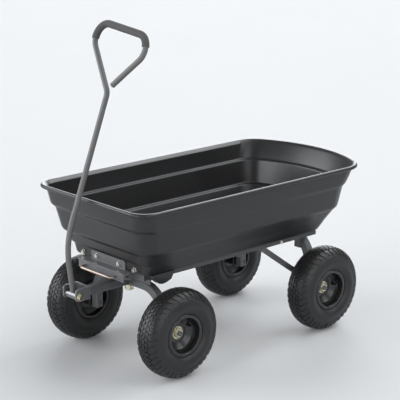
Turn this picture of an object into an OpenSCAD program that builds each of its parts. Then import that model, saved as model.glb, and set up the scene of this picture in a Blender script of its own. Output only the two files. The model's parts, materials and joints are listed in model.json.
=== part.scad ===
// Tipping dump cart: a moulded tub on a four-wheel steel chassis with a steered front axle.
// The frame stands on the ground, +X towards the pull handle, +Y to the cart's left, +Z up.

/* [Tub] */
// Half of the width between the middles of the rolled side rims
tub_half_w = 243; // [225:1:255]
// Front rim, ahead of the front axle
front_overhang = 149; // [144:1:154]
// Rear rim at the middle of its bow, behind the rear axle
rear_overhang = 192; // [174:1:224]
// Wall of the moulding
tub_wall = 4.5; // [3:0.5:6]
// Height of the underside of the tub above the ground
floor_z = 298; // [294:1:310]
// Height of the sloping band above the floor
low_h = 65; // [50:1:80]
// Height of the middle band
mid_h = 67; // [50:1:90]
// Height of the upper band
upper_h = 47; // [35:1:70]
// Height of the ledge between two bands
ledge_h = 8; // [5:1:14]
// Width of the ledge between two bands
ledge_w = 12; // [8:1:16]
// Radius of the rolled rim
bead_r = 6; // [4:0.5:6.5]
// How far the wall stands inside the middle of the rim
rim_inset = 7; // [5:0.5:9]
// Inward slope of the upper band at the sides
upper_draft = 7; // [4:1:12]
// Inward slope of the middle band at the sides
mid_draft = 11; // [6:1:16]
// Inward slope of the low band at the sides
low_draft = 26; // [14:1:34]
// Inward slope of the front wall in each of its bands
front_draft = 9; // [5:1:12]
// Extra slope of the rear wall in the upper band
rear_upper_draft = 19; // [6:1:24]
// Length of the pouring slope at the foot of the rear wall
pour_run = 54; // [40:1:80]
// Height of the upright skirt below the front wall
skirt_h = 31; // [26:1:40]
// Step from the front wall back to the skirt
skirt_step = 13; // [8:1:18]
// Plan radius of the front corners at the rim
front_corner_r = 56; // [50:1:75]
// Plan radius of the rear corners at the rim
rear_corner_r = 80; // [65:1:95]
// Plan radius of the bowed rear edge
bow_r = 420; // [380:5:520]
// Drop of the front feet below the tub floor
foot_h = 31; // [20:1:33]
// Length of a front foot
foot_len = 84; // [60:1:100]
// Width of a front foot
foot_w = 22; // [14:1:26]

/* [Wheels] */
// Outside diameter of the tyre
tyre_d = 260; // [250:1:262]
// Width of the tyre
tyre_w = 84; // [76:1:88]
// Height of the raised ring on each sidewall
ridge_h = 1.5; // [0.5:0.5:3]
// Diameter of the rim's bead seat
rim_seat_d = 96; // [90:1:104]
// Height of the rim flange above the bead seat
flange_h = 15; // [10:1:17]
// Width between the rim flanges
rim_w = 60; // [54:1:64]
// Thickness of the rim's pressed steel
rim_t = 2.5; // [1.5:0.5:3.5]
// Distance from the wheel's middle inwards to the rim's joint
rim_joint = 9; // [4:1:14]
// Width of the flat ring where the rim's halves meet around the hub
web_w = 10; // [7:1:14]
// Outside diameter of the hub
hub_d = 44; // [40:1:50]
// Outside diameter of the wheel bearing
bearing_d = 35; // [30:1:37]
// Width of the wheel bearing
bearing_w = 12; // [8:1:14]
// Length of the hub inwards from the wheel's middle
hub_len = 46; // [44:1:50]
// Lugs around each shoulder of the tread
lugs = 22; // [16:1:28]
// Width of the gap between two lugs
lug_gap = 9; // [5:1:12]
// Depth of the tread
tread_depth = 5; // [3:0.5:7]
// Diameter of the axle stubs and the kingpin
axle_d = 16; // [12:1:18]

/* [Chassis] */
// Distance between the axles
wheelbase = 592; // [580:1:610]
// Distance between the middles of the left and right tyres
track = 422; // [418:1:440]
// Side of the square axle tube
axle_tube = 25; // [20:1:28]
// Wall of the square tubes
tube_wall = 2.5; // [1.5:0.5:4]
// Bend radius of the axle arches on their middle line
axle_bend_r = 78; // [65:1:90]
// Height of the middle line of the front arch
front_crown_z = 236.5; // [230:0.5:240]
// Length of the axle arm below the wheel's axis
arm_drop = 17; // [14:1:22]
// Side of the square chassis rail
rail_size = 25; // [20:1:27]
// Corner radius of the square tubes
tube_corner = 4; // [2:0.5:6]
// Gap from a chassis rail out to the axle arm beside it
rail_gap = 10.2; // [8:0.1:14]
// Thickness of plates and brackets
plate_t = 4; // [3:0.5:5]
// Diameter of the turntable plates on the kingpin
turntable_d = 100; // [80:1:120]
// Length of the front bolster along the cart
bolster_len = 60; // [50:1:80]
// How far the brace lies across the axle arm
brace_seat = 7.8; // [6:0.1:12]
// Depth of the brace
brace_d = 14; // [10:1:18]
// Distance from the rear arch to the top bolt of the brace
brace_run = 184; // [150:1:220]
// Height of the foot of the brace above the wheel's axis
brace_rise = 20; // [10:1:40]
// Width of the bed rail under the tub's side
bed_rail_w = 24; // [18:1:24]
// Depth of the bed rail under the tub's side
bed_rail_h = 12; // [12:1:20]
// Distance from the tub's floor edge in to the bed rail
bed_rail_inset = 4; // [3:1:8]
// Gap from a chassis rail out to the bed rail beside it
bed_rail_gap = 10.5; // [8:0.5:14]
// Distance from the middle of the wheelbase back to the bed rail bolt
bed_bolt_x = 160; // [120:1:220]

/* [Tilt hinge] */
// Distance from the rear axle back to the hinge pin
hinge_setback = 29; // [28:1:36]
// Distance from the tub's floor down to the hinge pin
hinge_drop = 17; // [17:0.5:22]
// Diameter of the hinge pin
hinge_pin_d = 12; // [8:1:13]
// Distance from the middle of the cart to each hinge lug
hinge_y = 60; // [40:1:66]
// Thickness of the hinge lug
lug_t = 6; // [4:0.5:9]

/* [Latch] */
// Distance from the edge of the tub's floor in to the end of the latch bracket
latch_inset = 66; // [55:1:75]
// Distance from the end of the latch bracket in to the end of its bolting flange
flange_inset = 25; // [15:1:28]
// Height of the bolting flange
flange_up = 26; // [22:1:28]
// Depth of the latch shelf
shelf_d = 30; // [26:1:40]
// Depth of the latch lip below the shelf
lip_h = 25; // [22:1:27]
// Diameter of the bail's rod
bail_d = 8; // [6:0.5:9]
// Distance from the end of the latch bracket in to each leg of the bail
bail_inset = 33; // [26:1:40]
// How far the bail stands out of the lip
bail_out = 25; // [22:1:40]
// Travel of the bail
bail_travel = 16; // [12:0.5:18]
// Bend radius of the bail
bail_bend_r = 12; // [9:1:16]
// Turns of each return spring
spring_turns = 6; // [4:1:8]
// Diameter of the spring's wire
spring_wire_d = 1.6; // [1:0.1:2]

/* [Tongue and handle] */
// Distance from the front axle to the handle's pivot
tongue_reach = 202; // [195:1:215]
// Height of the handle's pivot
handle_pivot_z = 235; // [228:1:240]
// Distance between the clevis ears
clevis_gap = 52; // [44:1:60]
// Diameter of the handle's pivot bolt
pivot_bolt_d = 10; // [8:1:12]
// Diameter of the handle's pivot bush
bush_d = 22; // [18:1:26]
// Diameter of the handle tube
handle_d = 16; // [14:1:18]
// Wall of the handle tube
handle_wall = 1.8; // [1.2:0.1:3]
// Forward lean of the handle's lower end
lower_lean = 8; // [4:1:10]
// Length of the handle's lower straight
lower_run = 91; // [80:1:110]
// Bend radius above the lower straight
handle_bend_r = 247; // [200:1:280]
// Rearward lean of the handle's shaft
shaft_lean = 20.9; // [16:0.1:22]
// Length of the handle's shaft
shaft_run = 359; // [320:1:380]
// Bend radius at the foot of the loop
kink_r = 32; // [20:1:40]
// Angle of the loop's closed side
loop_angle = 41; // [32:1:46]
// Angle of the loop's open side
open_angle = 45; // [36:1:48]
// Downward tilt of the grip towards the open side
grip_tilt = 5.6; // [0:0.1:8]
// Length of the loop's closed side
loop_side = 146; // [130:1:170]
// Length of the loop's open side
open_side = 112; // [95:1:125]
// Bend radius of the loop's upper corners
loop_r = 42; // [32:1:48]
// Straight length of the loop's grip
grip_run = 137; // [120:1:165]
// Wall of the grip sleeve
grip_wall = 2.6; // [2:0.1:4]

/* [Hidden] */
$fn = 64;
// Running clearance on a radius
fit = 0.05;
// Gap between faces that pass each other
gap = 0.3;
// Overshoot of a cut past the face that it opens
cut = 1;
// Wheel axes
front_x = wheelbase / 2;
rear_x = -wheelbase / 2;
axle_z = tyre_d / 2;
axle_r = axle_d / 2;
tub_front = front_x + front_overhang;
tub_rear = rear_overhang - rear_x;
// The ground origin lies under the middle of the whole cart
handle_r = handle_d / 2;
handle_pivot_x = front_x + tongue_reach;
front_reach = handle_pivot_x + lower_run * sin(lower_lean)
    + handle_bend_r * (1 - cos(lower_lean)) + handle_r;
mid_x = (tub_rear + bead_r - front_reach) / 2;
// Heights of the tub's bands
low_z = floor_z + low_h;
mid_z = low_z + ledge_h;
mid_top = mid_z + mid_h;
upper_z = mid_top + ledge_h;
upper_top = upper_z + upper_h;
bead_z = upper_top + bead_r;
skirt_top = floor_z + skirt_h;
skirt_ledge = 3;
// Insets of the bands, from the rim inwards
front_mid_extra = 4;
upper_side = rim_inset + upper_draft;
mid_side = upper_side + ledge_w;
low_side = mid_side + mid_draft + ledge_w;
floor_side = low_side + low_draft;
upper_front = rim_inset + front_draft;
mid_front = upper_front + ledge_w;
mid_low_front = mid_front + front_draft + front_mid_extra;
low_front = mid_low_front + ledge_w;
wall_front = low_front + front_draft;
skirt_front = wall_front + skirt_step;
upper_rear = rim_inset + upper_draft + rear_upper_draft;
mid_rear = upper_rear + ledge_w;
low_rear = mid_rear + mid_draft + ledge_w;
floor_rear = low_rear + pour_run;
floor_edge = tub_half_w - floor_side;
// Axle arches
tube_half = axle_tube / 2;
arm_y = track / 2 - hub_len - gap - tube_half;
arm_in = arm_y - tube_half;
arm_foot_z = axle_z - arm_drop;
crown_gap = 6;
rear_crown_z = floor_z - crown_gap - tube_half;
// Bed rails under the tub, and chassis rails between them and the axle arms
sheet_t = 3;
bed_rail_out = floor_edge - bed_rail_inset;
bed_rail_in = bed_rail_out - bed_rail_w;
rail_out = min(arm_in - rail_gap, bed_rail_in - bed_rail_gap);
rail_y = rail_out - rail_size / 2;
rail_top = floor_z - gap;
rail_bottom = rail_top - rail_size;
gusset_t = plate_t;
gusset_drop = 57;
rail_rear_x = rear_x + tube_half + gusset_t;
// Turntable stack on the front arch
turntable_z = front_crown_z + tube_half;
turntable_r = turntable_d / 2;
bolster_z = turntable_z + 2 * plate_t + gap;
// Hexagon heads and nuts, across flats and in height, as shares of the shank
hex_across = 1.5;
head_share = 0.62;
// Thread that stands out of a nut
thread_out = 3;
// Latch stack from the skirt's face
skirt_x = tub_front - skirt_front;
lip_x = skirt_x + shelf_d;
shelf_z = floor_z;
latch_half_w = floor_edge - latch_inset;
flange_half_w = latch_half_w - flange_inset;
// The bail's legs pass between the chassis rails
pin_gap = 12;
bail_r = bail_d / 2;
bail_y = min(latch_half_w - bail_inset, rail_out - rail_size - pin_gap);
bail_drop = 14;
bail_z = shelf_z - bail_drop;
// The keeper stands behind the skirt, and the drawn pins clear it
keeper_t = 5;
keeper_setback = 21;
pin_clear = 3;
keeper_x = skirt_x - keeper_setback - keeper_t;
bail_tip_x = keeper_x + keeper_t + pin_clear - bail_travel;
bail_bar_x = lip_x + bail_out - bail_r;
// Each spring works between a collar on the bail and the lip
collar_t = 4;
spring_clear = 1.2;
wire_r = spring_wire_d / 2;
collar_x = skirt_x + sheet_t - collar_t;
spring_r = bail_r + wire_r + spring_clear;
spring_from = collar_x + collar_t + gap + wire_r;
spring_to = lip_x - sheet_t - gap - wire_r;
// Tilt hinge
hinge_x = rear_x - hinge_setback;
hinge_z = floor_z - hinge_drop;
hinge_pin_r = hinge_pin_d / 2;
lug_rim = 6;
hinge_lug_r = hinge_pin_r + lug_rim;
ear_rim = 5;
ear_r = hinge_pin_r + ear_rim;
ear_t = plate_t;
ear_gap = 0.5;
hinge_plate_t = plate_t;
// Clevis
ear_thick = 5;
clevis_back = 36;
clevis_front = 14;
clevis_low = 13;
clevis_high = 24;
ear_corner = 9;
tongue_end = handle_pivot_x - clevis_back;
// Wheel
rim_seat_r = rim_seat_d / 2;
hub_r = hub_d / 2;
bearing_r = bearing_d / 2;
flange_r = rim_seat_r + flange_h;
flange_flare = 4;
washer_t = 2;
nut_h = 8;
washer_share = 0.95;

tub_grey = "#46474a";
frame_grey = "#3a3c40";
tube_grey = "#6f7174";
zinc = "#c9ccd0";
yellow_zinc = "#b9a56a";
rubber = "#232325";
rim_black = "#18191b";

// Moves a piece drawn about the middle of the wheelbase into the cart's own frame
module cart() {
    translate([mid_x, 0, 0]) children();
}

// Draws a piece of the left side and its mirror image on the right
module both_sides() {
    children();
    mirror([0, 1, 0]) children();
}

// Tub: rings of points from the floor's underside, up the outside, over the rim and down the inside
corner_count = 6;
rear_count = 5;
bow_count = 8;
bead_step_angle = 30;
bead_end_angle = 120;
// Share of a level's side inset that its corner radii lose
front_corner_share = 0.25;
rear_corner_share = 0.3;

// Plan outline of one level; side, front and rear are insets from the rim and wall is a parallel offset
function outline(side, front, rear, wall) =
    let (
        w = tub_half_w - side - wall,
        f = tub_front - front - wall,
        r = -(tub_rear - rear - wall),
        cf = front_corner_r - front_corner_share * side - wall,
        cr = rear_corner_r - rear_corner_share * side - wall,
        bow = bow_r - wall,
        bow_x = r + bow,
        cr_x = bow_x - sqrt(pow(bow - cr, 2) - pow(w - cr, 2)),
        meet = atan2(w - cr, cr_x - bow_x),
        half = concat(
            [for (i = [0 : corner_count])
                let (a = 90 * i / corner_count) [f - cf + cf * cos(a), w - cf + cf * sin(a)]],
            [for (i = [0 : rear_count])
                let (a = 90 + (meet - 90) * i / rear_count) [cr_x + cr * cos(a), w - cr + cr * sin(a)]]
        ),
        last = len(half) - 1
    )
    concat(
        half,
        [for (i = [1 : bow_count - 1])
            let (a = meet + (360 - 2 * meet) * i / bow_count) [bow_x + bow * cos(a), bow * sin(a)]],
        [for (i = [0 : last]) [half[last - i][0], -half[last - i][1]]]
    );

function mix(a, b, t) = a + (b - a) * t;
function ease(t) = t * t * (3 - 2 * t);

// One level of the outer wall: height, then side, front and rear insets
function slope_side(z) = mix(floor_side, low_side, (z - floor_z) / low_h);
function slope_rear(z) = mix(floor_rear, low_rear, (z - floor_z) / low_h);
function ledge(z, from, to) =
    [for (t = [0.25, 0.5, 0.75]) concat([z + ledge_h * t], [for (k = [0 : 2]) mix(from[k], to[k], ease(t))])];
wall_levels = concat(
    [[floor_z, floor_side, skirt_front, floor_rear]],
    [[skirt_top, slope_side(skirt_top), skirt_front, slope_rear(skirt_top)]],
    [for (z = [skirt_top + skirt_ledge]) [z, slope_side(z), wall_front, slope_rear(z)]],
    [[low_z, low_side, low_front, low_rear]],
    ledge(low_z, [low_side, low_front, low_rear],
        [low_side - ledge_w, mid_low_front, low_rear - ledge_w]),
    [[mid_z, low_side - ledge_w, mid_low_front, low_rear - ledge_w]],
    [[mid_top, mid_side, mid_front, mid_rear]],
    ledge(mid_top, [mid_side, mid_front, mid_rear], [upper_side, upper_front, upper_rear]),
    [[upper_z, upper_side, upper_front, upper_rear]],
    [[upper_top, rim_inset, rim_inset, rim_inset]]
);
bead_levels = [
    for (a = [-bead_end_angle : bead_step_angle : bead_end_angle])
        let (in = -bead_r * cos(a)) [bead_z + bead_r * sin(a), in, in, in]
];
// The inside follows the outside one wall further in, with its ledges raised by part of the wall
lift_share = 0.6;
last_wall = len(wall_levels) - 1;
tub_rings = concat(
    [for (l = wall_levels) [for (p = outline(l[1], l[2], l[3], 0)) [p[0], p[1], l[0]]]],
    [for (l = bead_levels) [for (p = outline(l[1], l[2], l[3], 0)) [p[0], p[1], l[0]]]],
    [for (i = [0 : last_wall])
        let (l = wall_levels[last_wall - i], rise = i == last_wall ? tub_wall : lift_share * tub_wall)
        [for (p = outline(l[1], l[2], l[3], tub_wall)) [p[0], p[1], l[0] + rise]]]
);

// Side faces between rings of n points; a closed skin joins the last ring to the first
function skin(n, m, closed) = [
    for (i = [0 : m - (closed ? 1 : 2)]) for (j = [0 : n - 1])
        let (k = (j + 1) % n, up = (i + 1) % m)
        each [[i * n + j, up * n + j, up * n + k], [i * n + j, up * n + k, i * n + k]]
];
function flat_start(n) = [[for (j = [0 : n - 1]) j]];
function flat_end(n, m) = [[for (j = [0 : n - 1]) (m - 1) * n + n - 1 - j]];
module loft(rings, start, end, closed = false) {
    polyhedron(
        points = [for (ring = rings) each ring],
        faces = concat(start, skin(len(rings[0]), len(rings), closed), end),
        convexity = 6
    );
}
module capped_loft(rings) {
    loft(rings, flat_start(len(rings[0])), flat_end(len(rings[0]), len(rings)));
}
// A closed skin out along one set of rings and back along another
module sleeve(outer, inner) {
    loft(concat(outer, [for (i = [1 : len(inner)]) inner[len(inner) - i]]), [], [], closed = true);
}

module tub() {
    color(tub_grey) cart() capped_loft(tub_rings);
}

// Rounded plate in its own plane, with the corner at the origin
module rounded_plate(w, h, r) {
    translate([r, 0]) square([w - 2 * r, h]);
    translate([0, r]) square([w, h - 2 * r]);
    for (x = [r, w - r]) for (y = [r, h - r]) translate([x, y]) circle(r = r);
}

// Section of a square tube about its middle
module tube_section(size, corner) {
    translate([-size / 2, -size / 2]) rounded_plate(size, size, corner);
}

// Plate standing in the XZ plane, from y to y + t
module upright(y, t) {
    translate([0, y + t, 0]) rotate([90, 0, 0]) linear_extrude(height = t) children();
}

// Straight hollow square tube along +X, with its middle line on the X axis
module square_tube(size, length) {
    rotate([90, 0, 90]) difference() {
        linear_extrude(height = length) tube_section(size, tube_corner);
        translate([0, 0, -cut]) linear_extrude(height = length + 2 * cut)
            square(size - 2 * tube_wall, center = true);
    }
}

// Hexagon head or nut along +Z
module hex(d, h) {
    cylinder(d = d * hex_across / cos(30), h = h, $fn = 6);
}

// Washer under a hexagon head, along +Z
thin_washer = 1.2;
module washer_head(d) {
    cylinder(d = 2 * d, h = thin_washer);
    translate([0, 0, thin_washer]) hex(d, head_share * d);
}

// Feet under the tub's front corners, with a rounded sole
foot_setback = 20;
foot_rear = skirt_x - foot_setback - foot_len;
foot_y = floor_edge - foot_w;
heel_run = 5;
sole_from = 14;
sole_to = 46;
toe_from = 57;
heel_share = 0.3;
sole_share = 0.75;
toe_share = 0.92;
tip_share = 0.16;
module front_foot() {
    upright(foot_y, foot_w) translate([foot_rear, floor_z])
        polygon(concat(
            [[0, 0], [heel_run, -heel_share * foot_h]],
            [for (t = [0 : 0.25 : 1])
                [mix(sole_from, sole_to, t), -foot_h * mix(sole_share, 1, sin(90 * t))]],
            [[toe_from, -toe_share * foot_h], [foot_len, -tip_share * foot_h], [foot_len, 0]]
        ));
}
module front_feet() {
    color(tub_grey) cart() both_sides() front_foot();
}

// Steel angle along each lower edge of the tub
// It stops where the floor turns into the tub's rear corner
bed_rail_setback = 13;
bed_rail_rear = hinge_x + bed_rail_setback;
bed_rail_len = foot_rear - cut - bed_rail_rear;
module bed_rail() {
    translate([bed_rail_rear, bed_rail_in, floor_z - sheet_t]) cube([bed_rail_len, bed_rail_w, sheet_t]);
    translate([bed_rail_rear, bed_rail_out - sheet_t, floor_z - bed_rail_h])
        cube([bed_rail_len, sheet_t, bed_rail_h]);
}
module bed_rail_left() {
    color(frame_grey) cart() bed_rail();
}
module bed_rail_right() {
    color(frame_grey) cart() mirror([0, 1, 0]) bed_rail();
}
bed_bolt_d = 5.5;
module bed_rail_bolts() {
    color(zinc) cart() both_sides()
        translate([-bed_bolt_x, bed_rail_out, floor_z - bed_rail_h / 2]) rotate([-90, 0, 0])
            washer_head(bed_bolt_d);
}

// Tilt hinge: brackets under the tub straddle lugs on the back of the rear axle
bracket_len = 50;
bracket_half = lug_t / 2 + ear_gap + ear_t;
module hinge_bracket() {
    difference() {
        union() {
            translate([hinge_x - bracket_len / 2, hinge_y - bracket_half, floor_z - hinge_plate_t])
                cube([bracket_len, 2 * bracket_half, hinge_plate_t]);
            for (y = [hinge_y - bracket_half, hinge_y + bracket_half - ear_t])
                upright(y, ear_t) {
                    translate([hinge_x, hinge_z]) circle(r = ear_r);
                    translate([hinge_x - ear_r, hinge_z]) square([2 * ear_r, hinge_drop - hinge_plate_t]);
                }
        }
        translate([hinge_x, hinge_y - 2 * bracket_half, hinge_z]) rotate([-90, 0, 0])
            cylinder(r = hinge_pin_r + fit, h = 4 * bracket_half);
    }
}
module tub_hinge_brackets() {
    color(frame_grey) cart() both_sides() hinge_bracket();
}
pin_head_t = 3;
pin_head_rim = 3;
module hinge_pin() {
    translate([hinge_x, hinge_y - bracket_half, hinge_z]) rotate([-90, 0, 0]) {
        translate([0, 0, -pin_head_t]) cylinder(r = hinge_pin_r + pin_head_rim, h = pin_head_t);
        cylinder(r = hinge_pin_r, h = 2 * bracket_half);
        translate([0, 0, 2 * bracket_half]) cylinder(r = hinge_pin_r + pin_head_rim, h = pin_head_t);
    }
}
module hinge_pins() {
    color(zinc) cart() both_sides() hinge_pin();
}
module hinge_lug() {
    difference() {
        upright(hinge_y - lug_t / 2, lug_t) {
            translate([hinge_x, hinge_z]) circle(r = hinge_lug_r);
            translate([hinge_x, hinge_z - hinge_lug_r])
                square([rear_x - tube_half - hinge_x, 2 * hinge_lug_r - cut]);
        }
        translate([hinge_x, hinge_y - lug_t, hinge_z]) rotate([-90, 0, 0])
            cylinder(r = hinge_pin_r + fit, h = 2 * lug_t);
    }
}
module hinge_lugs() {
    color(frame_grey) cart() both_sides() hinge_lug();
}

// Latch: a pressed bracket on the tub's skirt guides the bail's two pins
flange_corner = 8;
module latch_bracket() {
    color(frame_grey) cart() difference() {
        union() {
            translate([skirt_x, -flange_half_w, shelf_z - sheet_t]) rotate([90, 0, 90])
                linear_extrude(height = sheet_t)
                    rounded_plate(2 * flange_half_w, flange_up + sheet_t, flange_corner);
            translate([skirt_x, -latch_half_w, shelf_z - sheet_t]) cube([shelf_d, 2 * latch_half_w, sheet_t]);
            translate([lip_x - sheet_t, -latch_half_w, shelf_z - lip_h])
                cube([sheet_t, 2 * latch_half_w, lip_h]);
        }
        for (y = [-bail_y, bail_y])
            translate([lip_x - 2 * sheet_t, y, bail_z]) rotate([0, 90, 0])
                cylinder(r = bail_r + gap, h = 3 * sheet_t);
    }
}
latch_bolt_d = 8;
flange_bolt_in = 27;
skirt_bolt_out = 14;
skirt_bolt_up = 9;
module latch_bolts() {
    color(zinc) cart() both_sides() {
        translate([skirt_x + sheet_t, flange_half_w - flange_bolt_in, shelf_z + flange_up / 2])
            rotate([0, 90, 0]) washer_head(latch_bolt_d);
        translate([skirt_x, latch_half_w + skirt_bolt_out, floor_z + skirt_bolt_up])
            rotate([0, 90, 0]) washer_head(latch_bolt_d);
    }
}

// Bail: a bent rod whose ends are the latch pins
module release_bail() {
    color(zinc) cart() translate([0, 0, bail_z]) {
        both_sides() {
            translate([bail_tip_x, bail_y, 0]) rotate([0, 90, 0])
                cylinder(r = bail_r, h = bail_bar_x - bail_bend_r - bail_tip_x);
            translate([bail_bar_x - bail_bend_r, bail_y - bail_bend_r, 0])
                rotate_extrude(angle = 90) translate([bail_bend_r, 0]) circle(r = bail_r);
        }
        translate([bail_bar_x, bail_bend_r - bail_y, 0]) rotate([-90, 0, 0])
            cylinder(r = bail_r, h = 2 * (bail_y - bail_bend_r));
    }
}
module bail_collars() {
    color(zinc) cart() for (y = [-bail_y, bail_y])
        translate([collar_x, y, bail_z]) rotate([0, 90, 0]) difference() {
            cylinder(r = spring_r + spring_wire_d, h = collar_t);
            translate([0, 0, -cut]) cylinder(r = bail_r + fit, h = collar_t + 2 * cut);
        }
}
// Return springs: one wire each, swept along a helix
wire_count = 6;
turn_count = 8;
spring_len = spring_to - spring_from;
function helix(t) = [
    spring_from + spring_len * t,
    spring_r * cos(360 * spring_turns * t),
    spring_r * sin(360 * spring_turns * t)
];
coil_count = spring_turns * turn_count;
spring_line = [for (i = [0 : coil_count]) helix(i / coil_count)];
spring_gap = min([
    for (i = [0 : coil_count - turn_count])
        for (j = [i + turn_count / 2 + 1 : coil_count]) norm(spring_line[i] - spring_line[j])
]) - spring_wire_d;
echo(spring_gap = spring_gap);
function wire_ring(t) =
    let (
        c = helix(t),
        out = [0, cos(360 * spring_turns * t), sin(360 * spring_turns * t)],
        run = [spring_len / (2 * PI * spring_turns * spring_r), -out[2], out[1]],
        up = cross(out, run / norm(run))
    )
    [for (k = [0 : wire_count - 1])
        c + wire_r * (cos(360 * k / wire_count) * out + sin(360 * k / wire_count) * up)];
module bail_springs() {
    color(zinc) cart() for (y = [-bail_y, bail_y])
        translate([0, y, bail_z]) capped_loft([for (i = [0 : coil_count]) wire_ring(i / coil_count)]);
}

// Keeper bar: front end of the chassis, with a hole for each latch pin
module keeper_bar() {
    color(frame_grey) cart() difference() {
        translate([keeper_x, -rail_out, rail_bottom]) cube([keeper_t, 2 * rail_out, rail_size]);
        for (y = [-bail_y, bail_y])
            translate([keeper_x - cut, y, bail_z]) rotate([0, 90, 0])
                cylinder(r = bail_r + 2 * gap, h = keeper_t + 2 * cut);
    }
}

// Chassis rails, and the gussets that hang them on the rear axle
module rail() {
    translate([rail_rear_x, rail_y, rail_bottom + rail_size / 2])
        square_tube(rail_size, keeper_x - rail_rear_x);
}
module rail_left() {
    color(frame_grey) cart() rail();
}
module rail_right() {
    color(frame_grey) cart() mirror([0, 1, 0]) rail();
}
module rear_gussets() {
    color(frame_grey) cart() both_sides()
        translate([rear_x + tube_half, rail_y - rail_size / 2, rail_top - gusset_drop])
            cube([gusset_t, rail_size, gusset_drop]);
}

// Axle arch of square tube, standing across the cart on its two arms
module arch_shape(size, corner, crown_z, foot_z) {
    flat = arm_y - axle_bend_r;
    translate([0, flat, crown_z]) rotate([90, 0, 0]) linear_extrude(height = 2 * flat)
        tube_section(size, corner);
    both_sides() {
        translate([0, flat, crown_z - axle_bend_r]) rotate([90, 0, 90])
            rotate_extrude(angle = 90) translate([axle_bend_r, 0]) tube_section(size, corner);
        translate([0, arm_y, foot_z]) linear_extrude(height = crown_z - axle_bend_r - foot_z)
            tube_section(size, corner);
    }
}
module axle_arch(x, crown_z) {
    difference() {
        translate([x, 0, 0]) arch_shape(axle_tube, tube_corner, crown_z, arm_foot_z);
        translate([x, 0, 0])
            arch_shape(axle_tube - 2 * tube_wall, tube_corner - tube_wall, crown_z, arm_foot_z - cut);
        translate([x, -track / 2, axle_z]) rotate([-90, 0, 0]) cylinder(r = axle_r + fit, h = track);
    }
}
module rear_axle() {
    color(frame_grey) cart() axle_arch(rear_x, rear_crown_z);
}
module front_axle() {
    color(frame_grey) cart() difference() {
        axle_arch(front_x, front_crown_z);
        translate([front_x, 0, front_crown_z - axle_tube]) cylinder(r = axle_r + fit, h = 2 * axle_tube);
    }
}

// Axle stubs through the foot of each arm, with nuts outside the wheel hubs
stub_recess = 2;
module axle_stub(x) {
    inner = arm_in + stub_recess;
    translate([x, inner, axle_z]) rotate([-90, 0, 0])
        cylinder(r = axle_r, h = track / 2 + gap + washer_t + nut_h + thread_out - inner);
}
module axle_nut(x) {
    translate([x, track / 2 + gap, axle_z]) rotate([-90, 0, 0]) difference() {
        union() {
            cylinder(r = washer_share * axle_d, h = washer_t);
            translate([0, 0, washer_t]) hex(axle_d, nut_h);
        }
        translate([0, 0, -cut]) cylinder(r = axle_r + fit, h = washer_t + nut_h + 2 * cut);
    }
}
module rear_axle_stubs() {
    color(zinc) cart() both_sides() axle_stub(rear_x);
}
module rear_axle_nuts() {
    color(yellow_zinc) cart() both_sides() axle_nut(rear_x);
}
module front_axle_stubs() {
    color(zinc) cart() both_sides() axle_stub(front_x);
}
module front_axle_nuts() {
    color(yellow_zinc) cart() both_sides() axle_nut(front_x);
}

// Braces: channels from the foot of the rear arms up to the chassis rails
brace_w = arm_in + brace_seat - rail_out;
brace_foot_x = rear_x + tube_half;
brace_foot_z = axle_z + brace_rise;
brace_top_x = brace_foot_x + brace_run;
brace_top_z = rail_bottom + rail_size / 3;
brace_tilt = atan2(brace_top_z - brace_foot_z, brace_run);
brace_len = norm([brace_run, brace_top_z - brace_foot_z]);
brace_bolt_d = 8;
module brace() {
    difference() {
        intersection() {
            translate([brace_foot_x, rail_out, brace_foot_z]) rotate([0, -brace_tilt, 0]) {
                translate([-brace_d, 0, -brace_d / 2]) cube([brace_len + brace_d, brace_w, brace_d]);
                translate([brace_len, 0, 0]) rotate([-90, 0, 0]) cylinder(d = brace_d, h = brace_w);
            }
            translate([brace_foot_x, 0, 0]) cube([2 * brace_run, 2 * track, 2 * floor_z]);
        }
        translate([brace_foot_x, rail_out + tube_wall, brace_foot_z]) rotate([0, -brace_tilt, 0])
            translate([-2 * brace_d, 0, -brace_d / 2 - cut])
                cube([brace_len + brace_d, brace_w - 2 * tube_wall, brace_d - tube_wall + cut]);
    }
}
module brace_left() {
    color(frame_grey) cart() brace();
}
module brace_right() {
    color(frame_grey) cart() mirror([0, 1, 0]) brace();
}
module brace_bolts() {
    color(zinc) cart() both_sides()
        translate([brace_top_x, rail_out + brace_w, brace_top_z]) rotate([-90, 0, 0])
            hex(brace_bolt_d, head_share * brace_bolt_d);
}

// Front bolster and turntable around the kingpin
module front_bolster() {
    bolster_h = rail_bottom - bolster_z;
    color(frame_grey) cart() difference() {
        translate([front_x - bolster_len / 2, -rail_out, bolster_z])
            cube([bolster_len, 2 * rail_out, bolster_h]);
        translate([front_x - bolster_len / 2 + sheet_t, -rail_out - cut, bolster_z - cut])
            cube([bolster_len - 2 * sheet_t, 2 * rail_out + 2 * cut, bolster_h - sheet_t + cut]);
        translate([front_x, 0, bolster_z]) cylinder(r = axle_r + fit, h = 2 * bolster_h);
    }
}
module turntable(z) {
    translate([front_x, 0, z]) difference() {
        cylinder(r = turntable_r, h = plate_t);
        translate([0, 0, -cut]) cylinder(r = axle_r + fit, h = plate_t + 2 * cut);
    }
}
module turntable_upper() {
    color(frame_grey) cart() turntable(bolster_z - plate_t);
}
module turntable_lower() {
    color(frame_grey) cart() turntable(turntable_z);
}
kingpin_nut_h = 14;
kingpin_washer_t = 3;
kingpin_low = front_crown_z - tube_half - gap - kingpin_washer_t - kingpin_nut_h;
module kingpin() {
    color(zinc) cart() translate([front_x, 0, 0]) {
        translate([0, 0, rail_bottom]) hex(axle_d, head_share * axle_d);
        translate([0, 0, kingpin_low - thread_out])
            cylinder(r = axle_r, h = rail_bottom - kingpin_low + thread_out);
    }
}
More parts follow.
